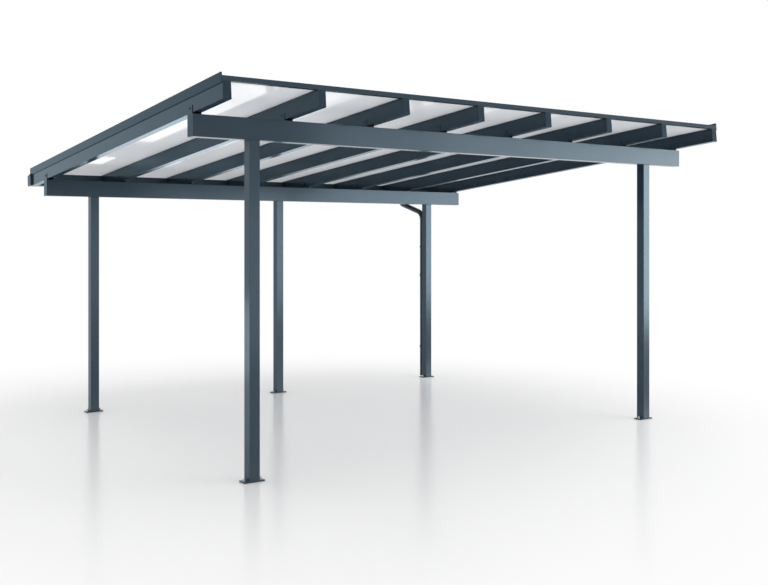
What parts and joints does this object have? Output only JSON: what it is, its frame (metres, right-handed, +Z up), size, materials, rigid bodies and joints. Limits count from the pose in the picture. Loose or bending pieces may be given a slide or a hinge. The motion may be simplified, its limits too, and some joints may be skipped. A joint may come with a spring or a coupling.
{
  "type": "carport",
  "caption": "Free-standing single-pitch carport: aluminium posts and beams carry sloping rafters with opal roof sheets, side trims, a rear gutter and a downpipe.",
  "frame": {"origin": "on the ground, in the middle of the four corner posts", "axes": "+X along the beams to the right, +Y from the high front to the low back, +Z up"},
  "size_m": [4.994, 4.2895, 2.7203],
  "materials": {
    "powder_coat": "anthracite blue-grey powder coat on aluminium, satin to glossy",
    "end_caps": "anthracite blue-grey powder-coated sheet",
    "opal_sheet": "opal milky twin-wall sheet, glossy",
    "seal_rubber": "black rubber seal",
    "rain_pipe": "anthracite coated rainwater pipe"
  },
  "bodies": {
    "root": {"foot_plate_front_left": "powder_coat", "post_front_left": "powder_coat", "foot_plate_front_right": "powder_coat", "post_front_right": "powder_coat", "foot_plate_back_left": "powder_coat", "post_back_left": "powder_coat", "foot_plate_back_middle": "powder_coat", "post_back_middle": "powder_coat", "foot_plate_back_right": "powder_coat", "post_back_right": "powder_coat", "front_beam": "powder_coat", "front_beam_end_caps": "end_caps", "front_rafter_saddles": "powder_coat", "back_beam": "powder_coat", "back_beam_end_caps": "end_caps", "back_rafter_saddles": "powder_coat", "rafter_1": "powder_coat", "rafter_2": "powder_coat", "rafter_3": "powder_coat", "rafter_4": "powder_coat", "rafter_5": "powder_coat", "rafter_6": "powder_coat", "rafter_7": "powder_coat", "rafter_8": "powder_coat", "rafter_end_caps": "end_caps", "sheet_seals": "seal_rubber", "roof_sheet_1": "opal_sheet", "roof_sheet_2": "opal_sheet", "roof_sheet_3": "opal_sheet", "roof_sheet_4": "opal_sheet", "roof_sheet_5": "opal_sheet", "roof_sheet_6": "opal_sheet", "roof_sheet_7": "opal_sheet", "cover_bars": "powder_coat", "front_channel": "powder_coat", "side_trim_left": "powder_coat", "side_trim_right": "powder_coat", "gutter_walls": "powder_coat", "gutter_floor": "powder_coat", "gutter_foot": "powder_coat", "gutter_end_caps": "end_caps", "gutter_outlet": "rain_pipe", "downpipe_neck": "rain_pipe", "downpipe": "rain_pipe", "downpipe_clips": "rain_pipe"}
  },
  "joints": []
}
